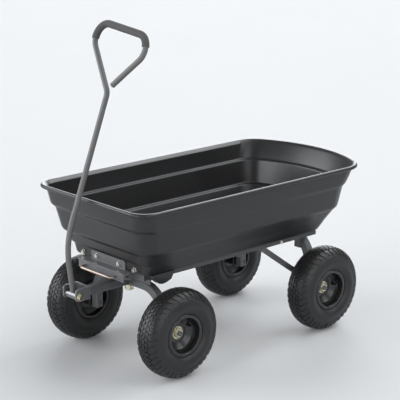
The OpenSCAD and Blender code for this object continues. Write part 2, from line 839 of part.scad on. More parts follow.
module kingpin_nut() {
    color(yellow_zinc) cart() translate([front_x, 0, kingpin_low]) difference() {
        union() {
            hex(axle_d, kingpin_nut_h);
            translate([0, 0, kingpin_nut_h]) cylinder(r = axle_d, h = kingpin_washer_t);
        }
        translate([0, 0, -cut]) cylinder(r = axle_r + fit, h = kingpin_nut_h + kingpin_washer_t + 2 * cut);
    }
}

// Tongue and clevis
module tongue() {
    back = front_x + tube_half;
    color(frame_grey) cart() translate([back, 0, front_crown_z]) square_tube(axle_tube, tongue_end - back);
}
clevis_half = clevis_gap / 2 + ear_thick;
clevis_z = handle_pivot_z - clevis_low;
clevis_h = clevis_low + clevis_high;
module clevis() {
    color(frame_grey) cart() difference() {
        union() {
            translate([tongue_end, -clevis_half, clevis_z]) cube([ear_thick, 2 * clevis_half, clevis_h]);
            for (y = [-clevis_half, clevis_gap / 2])
                upright(y, ear_thick) translate([tongue_end, clevis_z]) {
                    rounded_plate(clevis_back + clevis_front, clevis_h, ear_corner);
                    square([2 * ear_corner, clevis_h]);
                }
        }
        translate([handle_pivot_x, -2 * clevis_half, handle_pivot_z]) rotate([-90, 0, 0])
            cylinder(r = pivot_bolt_d / 2 + fit, h = 4 * clevis_half);
    }
}
module handle_pivot_bolt() {
    head_h = head_share * pivot_bolt_d;
    color(yellow_zinc) cart() translate([handle_pivot_x, -clevis_half, handle_pivot_z]) rotate([-90, 0, 0]) {
        translate([0, 0, -head_h]) hex(pivot_bolt_d, head_h);
        cylinder(d = pivot_bolt_d, h = 2 * clevis_half);
        translate([0, 0, 2 * clevis_half]) hex(pivot_bolt_d, head_h);
    }
}

// Handle: one bent tube, swept along straight runs and bends
// Each step of its line is [length] or [angle, bend radius, direction of the bend about the tube]
// The grip leaves part of the loop's first corner bare, and holds part of the second
first_corner_angle = 90 + loop_angle + grip_tilt;
second_corner_angle = 90 + open_angle - grip_tilt;
bare_share = 0.25;
held_share = 0.55;
handle_steps = [
    [lower_run],
    [lower_lean + shaft_lean, handle_bend_r, 180],
    [shaft_run],
    [loop_angle, kink_r, -90],
    [loop_side],
    [bare_share * first_corner_angle, loop_r, 90],
    [(1 - bare_share) * first_corner_angle, loop_r, 90],
    [grip_run],
    [held_share * second_corner_angle, loop_r, 90],
    [(1 - held_share) * second_corner_angle, loop_r, 90],
    [open_side]
];
last_step_count = len(handle_steps) - 1;
first_held_count = 6;
last_held_count = 8;
tube_count = 24;
bend_step_angle = 10;
function shift(v) = [[1, 0, 0, v[0]], [0, 1, 0, v[1]], [0, 0, 1, v[2]], [0, 0, 0, 1]];
function turn_z(a) = [[cos(a), -sin(a), 0, 0], [sin(a), cos(a), 0, 0], [0, 0, 1, 0], [0, 0, 0, 1]];
function turn_y(a) = [[cos(a), 0, sin(a), 0], [0, 1, 0, 0], [-sin(a), 0, cos(a), 0], [0, 0, 0, 1]];
// Movement of the tube's own frame along a share t of one step
function advance(s, t) =
    len(s) == 1 ? shift([0, 0, s[0] * t])
    : turn_z(s[2]) * shift([s[1], 0, 0]) * turn_y(s[0] * t) * shift([-s[1], 0, 0]) * turn_z(-s[2]);
// Frame at the start of step i
function frame(i) =
    i == 0 ? shift([handle_pivot_x, 0, handle_pivot_z]) * turn_y(lower_lean)
    : frame(i - 1) * advance(handle_steps[i - 1], 1);
function place(m, p) = let (q = m * [p[0], p[1], p[2], 1]) [q[0], q[1], q[2]];
function tube_ring(m, r) = [
    for (k = [0 : tube_count - 1])
        let (a = 360 * k / tube_count) place(m, [r * cos(a), r * sin(a), 0])
];
// Rings after the start of a stretch from one step to another
function tube_rings(from, to, r) = [
    for (i = [from : to])
        let (s = handle_steps[i], n = len(s) == 1 ? 1 : ceil(s[0] / bend_step_angle))
        for (j = [1 : n]) tube_ring(frame(i) * advance(s, j / n), r)
];
// The tube's foot is cut to the round of the bush
saddle_r = bush_d / 2 + 2 * fit;
function saddle_ring(r) = [
    for (k = [0 : tube_count - 1])
        let (a = 360 * k / tube_count, x = r * cos(a))
        place(frame(0), [x, r * sin(a), sqrt(pow(saddle_r, 2) - pow(x, 2))])
];
module handle_bush() {
    length = clevis_gap - 2 * gap;
    color(tube_grey) cart() translate([handle_pivot_x, -length / 2, handle_pivot_z]) rotate([-90, 0, 0])
        difference() {
            cylinder(d = bush_d, h = length);
            translate([0, 0, -cut]) cylinder(r = pivot_bolt_d / 2 + fit, h = length + 2 * cut);
        }
}
module handle_tube() {
    bore_r = handle_r - handle_wall;
    color(tube_grey) cart() sleeve(
        concat([saddle_ring(handle_r)], tube_rings(0, last_step_count, handle_r)),
        concat([saddle_ring(bore_r)], tube_rings(0, last_step_count, bore_r))
    );
}
module handle_grip() {
    start = frame(first_held_count);
    inner_r = handle_r + fit;
    outer_r = handle_r + grip_wall;
    color(rubber) cart() sleeve(
        concat([tube_ring(start, outer_r)], tube_rings(first_held_count, last_held_count, outer_r)),
        concat([tube_ring(start, inner_r)], tube_rings(first_held_count, last_held_count, inner_r))
    );
}
cap_t = 4;
cap_rim = 0.6;
module handle_end_cap() {
    color(tube_grey) cart() multmatrix(frame(last_step_count + 1))
        cylinder(r = handle_r + cap_rim, h = cap_t);
}

// Wheels: the local +Z axis points away from the cart, and the wheel stands turned by an angle
front_spin = 207;
rear_spin = 188;
module at_wheel(x, side, spin) {
    translate([x, side * track / 2, axle_z]) rotate([-90 * side, 0, 0]) rotate([0, 0, spin]) children();
}
// Tyre: a squared-off round section, with a raised ring on each sidewall
square_share = 0.84;
function blunt(v) = sign(v) * pow(abs(v), square_share);
tyre_r = tyre_d / 2;
section_share = 0.488;
tyre_mid_r = mix(rim_seat_r, tyre_r, section_share);
tyre_shoulder = tyre_r - tyre_mid_r;
ridge_share = 0.36;
ridge_r = tyre_mid_r + ridge_share * tyre_shoulder;
ridge_w = 6;
function ridge(r) = ridge_h * max(0, 1 - abs(r - ridge_r) / ridge_w);
bead_gap = 0.3;
bead_w = 12;
tyre_skin = 6;
wall_end_angle = 24;
wall_step_angle = 6;
tyre_out = [
    for (a = [-wall_end_angle : wall_step_angle : 180 + wall_end_angle])
        let (r = tyre_mid_r + tyre_shoulder * blunt(sin(a)))
        [r, tyre_w / 2 * blunt(cos(a)) + sign(cos(a)) * ridge(r)]
];
cavity_end_angle = 40;
cavity_step_angle = 13;
cavity_r = tyre_shoulder - tread_depth - tyre_skin;
cavity_half = tyre_w / 2 - tyre_skin;
// The cavity narrows from the sidewalls to the beads
function cavity_z(a) = mix(
    cavity_half * blunt(cos(a)), sign(cos(a)) * rim_w / 2, max(0, -sin(a)) / sin(cavity_end_angle));
tyre_in = [
    for (a = [180 + cavity_end_angle : -cavity_step_angle : -cavity_end_angle])
        [tyre_mid_r + cavity_r * blunt(sin(a)), cavity_z(a)]
];
// The beads lie on the seat and against the flanges
function bead_side(s) = [
    [rim_seat_r + bead_gap, s * (rim_w / 2 - bead_w)],
    [rim_seat_r + bead_gap, s * (rim_w / 2 - bead_gap)],
    [flange_r + bead_gap, s * (rim_w / 2 + flange_flare - bead_gap)],
    [flange_r + 2 * bead_gap, s * (rim_w / 2 + flange_flare + rim_t)]
];
bead_low = bead_side(-1);
tyre_profile = concat(bead_side(1), tyre_out, [for (i = [3 : -1 : 0]) bead_low[i]], tyre_in);
// Tread: two grooves, lugs that slant down over the shoulders, and notches across the middle rib
groove_w = 6;
groove_share = 0.155;
groove_at = groove_share * tyre_w;
notch_w = 6;
lug_slant = 18;
shoulder_drop = 18;
shoulder_slope = atan2(shoulder_drop, tyre_w / 2 - groove_at);
floor_r = tyre_r - tread_depth;
module tyre() {
    pitch = 360 / lugs;
    color(rubber) difference() {
        rotate_extrude() polygon(tyre_profile);
        for (s = [-1, 1]) {
            translate([0, 0, s * groove_at - groove_w / 2]) difference() {
                cylinder(r = tyre_r + cut, h = groove_w);
                translate([0, 0, -cut]) cylinder(r = floor_r, h = groove_w + 2 * cut);
            }
            for (i = [0 : lugs - 1])
                rotate([0, 0, pitch * (i + (s + 1) / 4)]) translate([floor_r, 0, s * groove_at])
                    rotate([s * lug_slant, -s * shoulder_slope, 0])
                        translate([0, -lug_gap / 2, s > 0 ? 0 : -tyre_w]) cube([tyre_w, lug_gap, tyre_w]);
        }
        for (i = [0 : lugs - 1])
            rotate([0, 0, pitch * (i + 1 / 4)]) translate([floor_r, -notch_w / 2, -groove_at])
                cube([2 * tread_depth, notch_w, 2 * groove_at]);
    }
}
// Rim half from its joint outwards: a flat ring at the hub, a cone, the bead's seat and a flange
module rim_half(s) {
    seat = rim_w / 2 + s * rim_joint;
    rise = seat - bead_w;
    run = rim_seat_r - hub_r - web_w;
    slant = norm([run, rise]);
    web_r = hub_r + web_w;
    inside = rim_seat_r - rim_t;
    rotate_extrude() polygon([for (p = [
        [hub_r + fit, 0],
        [hub_r + fit, rim_t],
        [web_r - rim_t * (slant - run) / rise, rim_t],
        [inside, rise + rim_t * (slant - rise) / run],
        [inside, seat + rim_t],
        [flange_r - rim_t / 2, seat + flange_flare + rim_t],
        [flange_r, seat + flange_flare + rim_t / 2],
        [flange_r, seat + flange_flare],
        [rim_seat_r, seat],
        [rim_seat_r, rise],
        [web_r, 0]
    ]) [p[0], s * p[1] - rim_joint]]);
}
// Valve through the cone of the outer half
valve_at = 38;
valve_in = -4;
valve_r = 4;
valve_len = 28;
valve_cap_r = 3.2;
valve_cap_len = 9;
module rim_outer() {
    color(rim_black) difference() {
        rim_half(1);
        translate([valve_at, 0, valve_in]) cylinder(r = valve_r + fit, h = valve_len);
    }
}
module rim_inner() {
    color(rim_black) rim_half(-1);
}
module valve() {
    color(rubber) translate([valve_at, 0, valve_in]) {
        cylinder(r = valve_r, h = valve_len - valve_cap_len);
        cylinder(r = valve_cap_r, h = valve_len);
    }
}
// Hub tube with a bearing pressed into each end
module hub() {
    color(rim_black) translate([0, 0, -hub_len]) difference() {
        cylinder(r = hub_r, h = hub_len);
        translate([0, 0, -cut]) cylinder(r = bearing_r, h = hub_len + 2 * cut);
    }
    color(zinc) for (z = [-hub_len, -bearing_w])
        translate([0, 0, z]) difference() {
            cylinder(r = bearing_r - fit, h = bearing_w);
            translate([0, 0, -cut]) cylinder(r = axle_r + fit, h = bearing_w + 2 * cut);
        }
}

module tyre_front_left() { cart() at_wheel(front_x, 1, front_spin) tyre(); }
module rim_outer_front_left() { cart() at_wheel(front_x, 1, front_spin) rim_outer(); }
module rim_inner_front_left() { cart() at_wheel(front_x, 1, front_spin) rim_inner(); }
module hub_front_left() { cart() at_wheel(front_x, 1, front_spin) hub(); }
module valve_front_left() { cart() at_wheel(front_x, 1, front_spin) valve(); }
module tyre_front_right() { cart() at_wheel(front_x, -1, front_spin) tyre(); }
module rim_outer_front_right() { cart() at_wheel(front_x, -1, front_spin) rim_outer(); }
module rim_inner_front_right() { cart() at_wheel(front_x, -1, front_spin) rim_inner(); }
module hub_front_right() { cart() at_wheel(front_x, -1, front_spin) hub(); }
module valve_front_right() { cart() at_wheel(front_x, -1, front_spin) valve(); }
module tyre_rear_left() { cart() at_wheel(rear_x, 1, rear_spin) tyre(); }
module rim_outer_rear_left() { cart() at_wheel(rear_x, 1, rear_spin) rim_outer(); }
module rim_inner_rear_left() { cart() at_wheel(rear_x, 1, rear_spin) rim_inner(); }
module hub_rear_left() { cart() at_wheel(rear_x, 1, rear_spin) hub(); }
module valve_rear_left() { cart() at_wheel(rear_x, 1, rear_spin) valve(); }
module tyre_rear_right() { cart() at_wheel(rear_x, -1, rear_spin) tyre(); }
module rim_outer_rear_right() { cart() at_wheel(rear_x, -1, rear_spin) rim_outer(); }
module rim_inner_rear_right() { cart() at_wheel(rear_x, -1, rear_spin) rim_inner(); }
module hub_rear_right() { cart() at_wheel(rear_x, -1, rear_spin) hub(); }
module valve_rear_right() { cart() at_wheel(rear_x, -1, rear_spin) valve(); }

tub();
front_feet();
bed_rail_left();
bed_rail_right();
bed_rail_bolts();
tub_hinge_brackets();
hinge_pins();
latch_bracket();
latch_bolts();
release_bail();
bail_collars();
bail_springs();
rail_left();
rail_right();
rear_gussets();
rear_axle();
brace_left();
brace_right();
brace_bolts();
hinge_lugs();
keeper_bar();
front_bolster();
turntable_upper();
kingpin();
kingpin_nut();
rear_axle_stubs();
rear_axle_nuts();
front_axle();
turntable_lower();
tongue();
clevis();
handle_pivot_bolt();
front_axle_stubs();
front_axle_nuts();
handle_bush();
handle_tube();
handle_grip();
handle_end_cap();
tyre_front_left();
rim_outer_front_left();
rim_inner_front_left();
hub_front_left();
valve_front_left();
tyre_front_right();
rim_outer_front_right();
rim_inner_front_right();
hub_front_right();
valve_front_right();
tyre_rear_left();
rim_outer_rear_left();
rim_inner_rear_left();
hub_rear_left();
valve_rear_left();
tyre_rear_right();
rim_outer_rear_right();
rim_inner_rear_right();
hub_rear_right();
valve_rear_right();
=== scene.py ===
# %% [markdown]
# # A tipping dump cart
#
# A garden dump cart is a deep moulded tub on a steel frame with four air-filled wheels. The tub
# hinges behind the rear axle, a sprung bail under its front lip locks it down, and the front axle
# steers under a long bent handle. The solid model gives each part its place and size. This lesson
# gives every part its finish, and models again the ones whose form the solids only hint at.

# %% Load the solid model
import json
import math

import bmesh
import bpy
from mathutils import Matrix, Vector
from mathutils.kdtree import KDTree

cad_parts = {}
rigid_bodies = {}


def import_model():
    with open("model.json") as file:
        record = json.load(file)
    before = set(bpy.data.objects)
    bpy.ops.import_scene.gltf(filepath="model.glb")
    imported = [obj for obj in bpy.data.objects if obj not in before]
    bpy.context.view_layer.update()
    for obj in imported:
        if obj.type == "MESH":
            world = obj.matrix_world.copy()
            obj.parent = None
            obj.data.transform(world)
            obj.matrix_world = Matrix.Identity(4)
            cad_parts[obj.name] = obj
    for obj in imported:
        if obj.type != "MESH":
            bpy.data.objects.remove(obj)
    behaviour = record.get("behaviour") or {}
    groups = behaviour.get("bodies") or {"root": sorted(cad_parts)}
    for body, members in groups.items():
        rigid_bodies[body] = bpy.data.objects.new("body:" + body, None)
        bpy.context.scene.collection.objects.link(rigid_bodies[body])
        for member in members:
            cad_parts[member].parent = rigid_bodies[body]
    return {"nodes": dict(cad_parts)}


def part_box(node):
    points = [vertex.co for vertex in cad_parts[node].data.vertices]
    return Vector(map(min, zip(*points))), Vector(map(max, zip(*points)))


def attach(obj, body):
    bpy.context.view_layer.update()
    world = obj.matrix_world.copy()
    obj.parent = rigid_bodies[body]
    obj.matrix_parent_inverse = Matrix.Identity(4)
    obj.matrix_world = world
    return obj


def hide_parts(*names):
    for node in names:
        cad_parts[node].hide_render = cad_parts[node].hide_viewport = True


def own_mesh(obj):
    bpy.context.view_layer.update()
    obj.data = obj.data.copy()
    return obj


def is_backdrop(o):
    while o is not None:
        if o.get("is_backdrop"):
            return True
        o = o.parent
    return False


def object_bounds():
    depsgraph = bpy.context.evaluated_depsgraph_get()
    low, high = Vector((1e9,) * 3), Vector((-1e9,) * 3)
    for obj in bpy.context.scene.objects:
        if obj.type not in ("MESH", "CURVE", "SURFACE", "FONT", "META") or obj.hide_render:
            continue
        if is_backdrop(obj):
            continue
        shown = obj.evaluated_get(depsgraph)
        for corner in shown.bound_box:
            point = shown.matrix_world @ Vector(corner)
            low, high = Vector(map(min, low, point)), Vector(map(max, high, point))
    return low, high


for stray in list(bpy.data.objects):
    bpy.data.objects.remove(stray)
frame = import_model()
solid_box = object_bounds()
solids = frame["nodes"]
print(len(solids), "solid parts, from", *[round(v, 3) for v in solid_box[0]])
print("to", *[round(v, 3) for v in solid_box[1]])

# %% [markdown]
# ## Camera, floor and light
#
# The camera stands to the front and left of the cart, a little above the tub's rim, with a long
# lens, so the wheels look almost round. Every part of the cart is dark and a little shiny, so it
# shows mostly what it reflects. The studio is therefore a dim sky with broad bright panels: two
# low ones in front light up the inside of the tub's tail, a low one behind draws the line along
# the rim, two high ones behind find the inner ledges, and one at the near side fills the wheels.
# A soft sun adds the shadow on the floor.

# %% Camera
camera_place = Vector((2.7725, 3.073, 1.560))
camera_azimuth, camera_elevation = math.radians(138.01), math.radians(15.38)
lens_mm, sensor_mm = 129.15, 36
towards_camera = Vector((
    math.sin(camera_azimuth) * math.cos(camera_elevation),
    -math.cos(camera_azimuth) * math.cos(camera_elevation),
    math.sin(camera_elevation),
))
bpy.ops.object.select_all(action="DESELECT")
bpy.ops.object.camera_add(
    location=camera_place, rotation=(-towards_camera).to_track_quat("-Z", "Y").to_euler())
camera = bpy.context.object
camera.data.lens = lens_mm
camera.data.sensor_width = sensor_mm
bpy.context.scene.camera = camera
print("camera at", [round(v, 3) for v in camera_place])


# %% Sky
def add(tree, kind, inputs=None, **settings):
    """Adds a shader node. An input takes a plain value, or another node's output to wire to it."""
    made = tree.nodes.new("ShaderNode" + kind)
    for name, value in settings.items():
        setattr(made, name, value)
    for name, value in (inputs or {}).items():
        socket = made.inputs[name]
        if isinstance(value, bpy.types.NodeSocket):
            tree.links.new(value, socket)
        else:
            socket.default_value = value
    return made


scene = bpy.context.scene
scene.view_settings.view_transform = "Standard"
scene.world = bpy.data.worlds.new("studio")
scene.world.use_nodes = True
sky = scene.world.node_tree
heading = add(sky, "TexCoord").outputs["Generated"]
sky_level, panel_edge, sky_colour = 0.26, 0.06, (0.96, 0.98, 1.0, 1)
# The direction of each panel, the cosine at which its soft edge begins, and its brightness
panels = (
    ((0.60, -0.70, 0.33), 0.90, 4.3),
    ((0.97, -0.05, 0.26), 0.94, 6.8),
    ((-0.645, -0.68, 0.35), 0.92, 5.0),
    ((-0.50, 0.56, 0.66), 0.92, 2.2),
    ((-0.64, 0.02, 0.76), 0.95, 8.5),
    ((0.20, 0.88, 0.40), 0.91, 1.9),
)
level = sky_level
for towards, reach, bright in panels:
    near = add(sky, "VectorMath", {0: heading, 1: Vector(towards).normalized()},
               operation="DOT_PRODUCT")
    panel = add(sky, "MapRange", {
        "Value": near.outputs["Value"], "From Min": reach, "From Max": reach + panel_edge,
        "To Max": bright,
    }, interpolation_type="SMOOTHSTEP")
    level = add(sky, "Math", {0: panel.outputs["Result"], 1: level}, operation="ADD").outputs[0]
glow = sky.nodes["Background"]
glow.inputs["Color"].default_value = sky_colour
sky.links.new(level, glow.inputs["Strength"])
print("sky with", len(panels), "panels")

# %% Sun and floor
sun_towards, sun_distance = Vector((-0.2, 0.35, 0.9)), 4
sun_power, sun_spread, floor_size = 0.3, 30, 60
bpy.ops.object.light_add(
    type="SUN", location=sun_towards * sun_distance,
    rotation=sun_towards.to_track_quat("Z", "Y").to_euler())
sun = bpy.context.object
sun.name = "sun"
sun.data.energy = sun_power
sun.data.angle = math.radians(sun_spread)
bpy.ops.mesh.primitive_plane_add(size=floor_size)
floor = bpy.context.object
floor.name = "floor"
floor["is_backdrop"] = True
print("sun of power", sun_power, "over a floor of", floor_size, "m")

# %% [markdown]
# ## Shared surface effects
#
# No real surface is one flat colour. Three effects come back in many finishes, so each is a shader
# node group that a material places with its own numbers. Grain is a fine bump and a slow drift
# of tone. Edge catch finds the sharp edges with a Bevel node, which also rounds them for the light,
# and its mask lets a finish paint a highlight of a lighter colour along those edges.
# Dust is a soft film that settles on what faces up. They read Object coordinates, which stay with
# the part when it moves.


# %% A new node group
def effect(name, inputs, outputs):
    """Starts a node group with these named inputs and outputs."""
    tree = bpy.data.node_groups.new(name, "ShaderNodeTree")
    for label, value in inputs.items():
        socket = tree.interface.new_socket(
            name=label, in_out="INPUT", socket_type="NodeSocketFloat")
        socket.default_value = value
    for label, kind in outputs.items():
        tree.interface.new_socket(name=label, in_out="OUTPUT", socket_type="NodeSocket" + kind)
    return tree, tree.nodes.new("NodeGroupInput").outputs, tree.nodes.new("NodeGroupOutput")


# %% Grain
grain, given, result = effect(
    "grain", {"Scale": 900.0, "Drift": 9.0}, {"Height": "Float", "Tone": "Float"})
place = add(grain, "TexCoord").outputs["Object"]
fine = add(grain, "TexNoise", {
    "Vector": place, "Scale": given["Scale"], "Detail": 3.0, "Roughness": 0.6})
slow = add(grain, "TexNoise", {
    "Vector": place, "Scale": given["Drift"], "Detail": 4.0, "Roughness": 0.55})
spread = add(grain, "MapRange", {
    "Value": slow.outputs["Fac"], "From Min": 0.32, "From Max": 0.68})
grain.links.new(fine.outputs["Fac"], result.inputs["Height"])
grain.links.new(spread.outputs["Result"], result.inputs["Tone"])
print("grain of", len(grain.nodes), "nodes")

# %% Edge catch
# The Edge mask marks the sharp edges where a finish paints a highlight colour.
edge_catch, given, result = effect(
    "edge_catch", {"Width": 0.0012}, {"Edge": "Float", "Normal": "Vector"})
rounded = add(edge_catch, "Bevel", {"Radius": given["Width"]}, samples=6)
plain = add(edge_catch, "NewGeometry").outputs["Normal"]
same = add(edge_catch, "VectorMath", {0: rounded.outputs["Normal"], 1: plain},
           operation="DOT_PRODUCT")
edge = add(edge_catch, "MapRange", {
    "Value": same.outputs["Value"], "From Min": 0.995, "From Max": 0.80})
edge_catch.links.new(edge.outputs["Result"], result.inputs["Edge"])
edge_catch.links.new(rounded.outputs["Normal"], result.inputs["Normal"])
print("edge catch of", len(edge_catch.nodes), "nodes")

# %% Dust
dust, given, result = effect("dust", {"Amount": 0.3, "Scale": 30.0}, {"Mask": "Float"})
place = add(dust, "TexCoord").outputs["Object"]
up = add(dust, "SeparateXYZ", {0: add(dust, "NewGeometry").outputs["Normal"]}).outputs["Z"]
settled = add(dust, "MapRange", {"Value": up, "From Min": -0.1, "From Max": 1.0})
patch = add(dust, "TexNoise", {
    "Vector": place, "Scale": given["Scale"], "Detail": 5.0, "Roughness": 0.7})
patchy = add(dust, "MapRange", {
    "Value": patch.outputs["Fac"], "From Min": 0.35, "From Max": 0.75})
both = add(dust, "Math", {0: settled.outputs["Result"], 1: patchy.outputs["Result"]},
           operation="MULTIPLY")
amount = add(dust, "Math", {0: both.outputs[0], 1: given["Amount"]},
             operation="MULTIPLY", use_clamp=True)
dust.links.new(amount.outputs[0], result.inputs["Mask"])
print("effects:", [g.name for g in bpy.data.node_groups])

# %% [markdown]
# ## Finishes
#
# Each finish is written as a few numbers: two tones that the grain drifts between, a range of
# roughness, the scale and bump of its grain, the colour and width of a highlight painted on its
# edges and how much dust lies on it. The tub is moulded plastic with a leathery grain, the frame
# has a powder coat with a slight orange peel, the handle a paler paint, and the small hardware is
# zinc plated, some of it yellow.


# %% Colours
def tone(red, green, blue):
    """A colour as it is read off a screen, 0 to 255, as the linear colour that a shader takes."""
    def linear(v):
        v /= 255
        return v / 12.92 if v <= 0.04045 else ((v + 0.055) / 1.055) ** 2.4
    return linear(red), linear(green), linear(blue), 1


def mix(tree, share, low, high):
    """Mixes two colours by a mask."""
    made = add(tree, "Mix", {0: share}, data_type="RGBA")
    for socket, value in ((made.inputs[6], low), (made.inputs[7], high)):
        if isinstance(value, bpy.types.NodeSocket):
            tree.links.new(value, socket)
        else:
            socket.default_value = value
    return made.outputs[2]


# %% Making a finish
finishes = {}
grain_depth, coat_rough, dust_tone = 0.0004, 0.12, tone(150, 148, 144)


def finish(slot, dark, light, rough, grain_scale, bump, painted_edge_highlight=None, edge_width=0.0012,
           drift=9.0, dusty=0.0, metal=0.0, coat=0.0):
    """Makes one material from its tones, roughness range, grain, painted edge highlight and dust."""
    made = bpy.data.materials.new(slot)
    made.use_nodes = True
    tree = made.node_tree
    shader = tree.nodes["Principled BSDF"]
    shader.inputs["Metallic"].default_value = metal
    shader.inputs["Coat Weight"].default_value = coat
    shader.inputs["Coat Roughness"].default_value = coat_rough
    skin = add(tree, "Group", node_tree=grain)
    skin.inputs["Scale"].default_value = grain_scale
    skin.inputs["Drift"].default_value = drift
    colour = mix(tree, skin.outputs["Tone"], dark, light)
    bumped = add(tree, "Bump", {
        "Height": skin.outputs["Height"], "Strength": bump, "Distance": grain_depth})
    # Along the sharp edges the colour turns to a painted highlight.
    if painted_edge_highlight:
        edges = add(tree, "Group", node_tree=edge_catch)
        edges.inputs["Width"].default_value = edge_width
        colour = mix(tree, edges.outputs["Edge"], colour, painted_edge_highlight)
        tree.links.new(edges.outputs["Normal"], bumped.inputs["Normal"])
    if dusty:
        film = add(tree, "Group", node_tree=dust)
        film.inputs["Amount"].default_value = dusty
        colour = mix(tree, film.outputs["Mask"], colour, dust_tone)
    gloss = add(tree, "MapRange", {
        "Value": skin.outputs["Tone"], "To Min": rough[0], "To Max": rough[1]})
    tree.links.new(colour, shader.inputs["Base Color"])
    tree.links.new(gloss.outputs["Result"], shader.inputs["Roughness"])
    tree.links.new(bumped.outputs["Normal"], shader.inputs["Normal"])
    finishes[slot] = made


# %% Plastic, paint and rubber
# A third colour given to a finish is a painted highlight along its sharp edges.
finish("tub_plastic", tone(32, 32, 33), tone(36, 36, 37), (0.29, 0.37), 420, 0.20,
       drift=5, dusty=0.02)
finish("frame_paint", tone(90, 91, 93), tone(97, 98, 100), (0.34, 0.44), 900, 0.10,
       tone(150, 151, 153), edge_width=0.0014, dusty=0.05)
# A darker copy of the frame paint: painted shade for the rails under the tub.
finish("shaded_frame_paint", tone(64, 64, 65), tone(70, 70, 71), (0.42, 0.52), 900, 0.10)
finish("handle_paint", tone(94, 93, 93), tone(100, 99, 99), (0.32, 0.42), 900, 0.08)
finish("rim_paint", tone(32, 32, 33), tone(37, 37, 38), (0.24, 0.32), 600, 0.05,
       tone(150, 150, 152), edge_width=0.0016, coat=0.3)
finish("grip", tone(72, 71, 71), tone(79, 78, 78), (0.70, 0.82), 1500, 0.35, drift=40)
finish("tyre", tone(27, 27, 28), tone(34, 34, 35), (0.36, 0.46), 1100, 0.25, drift=22, dusty=0.05)
finish("valve", tone(28, 28, 28), tone(36, 36, 36), (0.48, 0.6), 1200, 0.2)
print("finishes so far:", sorted(finishes))

# %% Metal and floor
# The third colour of each metal is a painted highlight along its edges.
finish("zinc", tone(196, 192, 186), tone(214, 210, 204), (0.20, 0.28), 300, 0.02,
       tone(235, 232, 226), edge_width=0.0005, drift=60, metal=1.0)
finish("yellow_zinc", tone(206, 198, 170), tone(224, 219, 200), (0.22, 0.32), 300, 0.02,
       tone(228, 222, 196), edge_width=0.0005, drift=60, metal=1.0)
finish("warm_zinc", tone(162, 146, 137), tone(180, 164, 155), (0.32, 0.40), 300, 0.02,
       drift=40, metal=1.0)
finish("bare_steel", tone(120, 120, 123), tone(142, 142, 145), (0.28, 0.42), 500, 0.06,
       tone(170, 170, 172), edge_width=0.0006, drift=90, metal=1.0)
finish("floor_paper", tone(208, 209, 210), tone(211, 212, 213), (0.75, 0.85), 60, 0.02, drift=1.5)
floor.data.materials.append(finishes["floor_paper"])
print("all finishes:", sorted(finishes))

# %% [markdown]
# ## Working by hand in code
#
# An operator acts on whatever is selected, and loading the model leaves all of its parts selected.
# So each step first selects exactly what it works on. A finished piece keeps its place in its
# mesh, gets its seams merged and its faces turned outwards, rides on its body and stands for the
# solid that it replaces.

# %% Selecting and joining
MM = 0.001
seam = 0.01 * MM


def only(*objects):
    """Leaves edit mode and selects just these objects, with the last one active."""
    if bpy.context.object and bpy.context.object.mode == "EDIT":
        bpy.ops.object.mode_set(mode="OBJECT")
    bpy.ops.object.select_all(action="DESELECT")
    for thing in objects:
        thing.select_set(True)
        bpy.context.view_layer.objects.active = thing


def edit(what="SELECT"):
    """Goes into edit mode with everything selected, or nothing."""
    bpy.ops.object.mode_set(mode="EDIT")
    bpy.ops.mesh.select_all(action=what)


def join(*pieces):
    """Joins pieces into the last one."""
    only(*pieces)
    bpy.ops.object.join()
    return bpy.context.object


# %% Settling and shaping
bevelled_from = math.radians(50)


def settle(piece, name, sharp=35):
    """Names a piece, puts its place in its mesh, closes its seams and smooths its gentle edges."""
    only(piece)
    piece.name = piece.data.name = name
    bpy.ops.object.transform_apply(location=True, rotation=True, scale=True)
    edit()
    bpy.ops.mesh.remove_doubles(threshold=seam)
    bpy.ops.mesh.normals_make_consistent(inside=False)
    bpy.ops.object.mode_set(mode="OBJECT")
    bpy.ops.object.shade_smooth_by_angle(angle=math.radians(sharp))
    print(name, len(piece.data.polygons), "faces")
    return piece


def shape(piece, kind, **values):
    """Adds a modifier with these values and applies it."""
    only(piece)
    modifier = piece.modifiers.new(kind.lower(), kind)
    for name, value in values.items():
        setattr(modifier, name, value)
    bpy.ops.object.modifier_apply(modifier=modifier.name)


def take_off_edges(piece, width, segments):
    """Bevels the sharp edges of a piece, by a width in millimetres."""
    shape(piece, "BEVEL", width=width * MM, segments=segments, limit_method="ANGLE",
          angle_limit=bevelled_from)


# %% Fitting and copying
def fit(piece, body, slot, *stands_for):
    """Gives a piece its finish and its body, and hides the solids that it stands for."""
    piece.data.materials.clear()
    piece.data.materials.append(finishes[slot])
    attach(piece, body)
    if stands_for:
        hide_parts(*stands_for)


def copy_to(piece, name, move, half_turn_about=None):
    """Copies a piece with its own mesh, moves it, and can turn it half round an upright line."""
    only(piece)
    bpy.ops.object.duplicate()
    twin = bpy.context.object
    edit()
    if half_turn_about is not None:
        bpy.ops.transform.rotate(value=math.pi, orient_axis="Z", center_override=half_turn_about)
    bpy.ops.transform.translate(value=move)
    bpy.ops.object.mode_set(mode="OBJECT")
    twin.name = twin.data.name = name
    return twin


# %% [markdown]
# ## The tub
#
# The real tub is one plastic moulding: a flat floor, walls that step outwards twice so that empty
# tubs stack, a bowed tail and a rolled rim. It could be carved out of a block, but a moulding is
# easier as rings: one loop for each level, extruded from the floor's underside up the outside,
# round the rim and down the inside. Each sharp level is first softened into a small curve, because
# a mould can't have sharp corners, and those curves are what catch the light.

# %% Levels of the tub
# The tub is measured from the middle of the wheelbase, in millimetres
wheel_box = [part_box("tyre_" + corner) for corner in ("front_left", "rear_left")]
mid_x = sum((low.x + high.x) / 4 for low, high in wheel_box) / MM
half_w, tub_front, tub_rear, wall = 243, 445, 488, 4.5
rim_z, rim_r = 499, 6
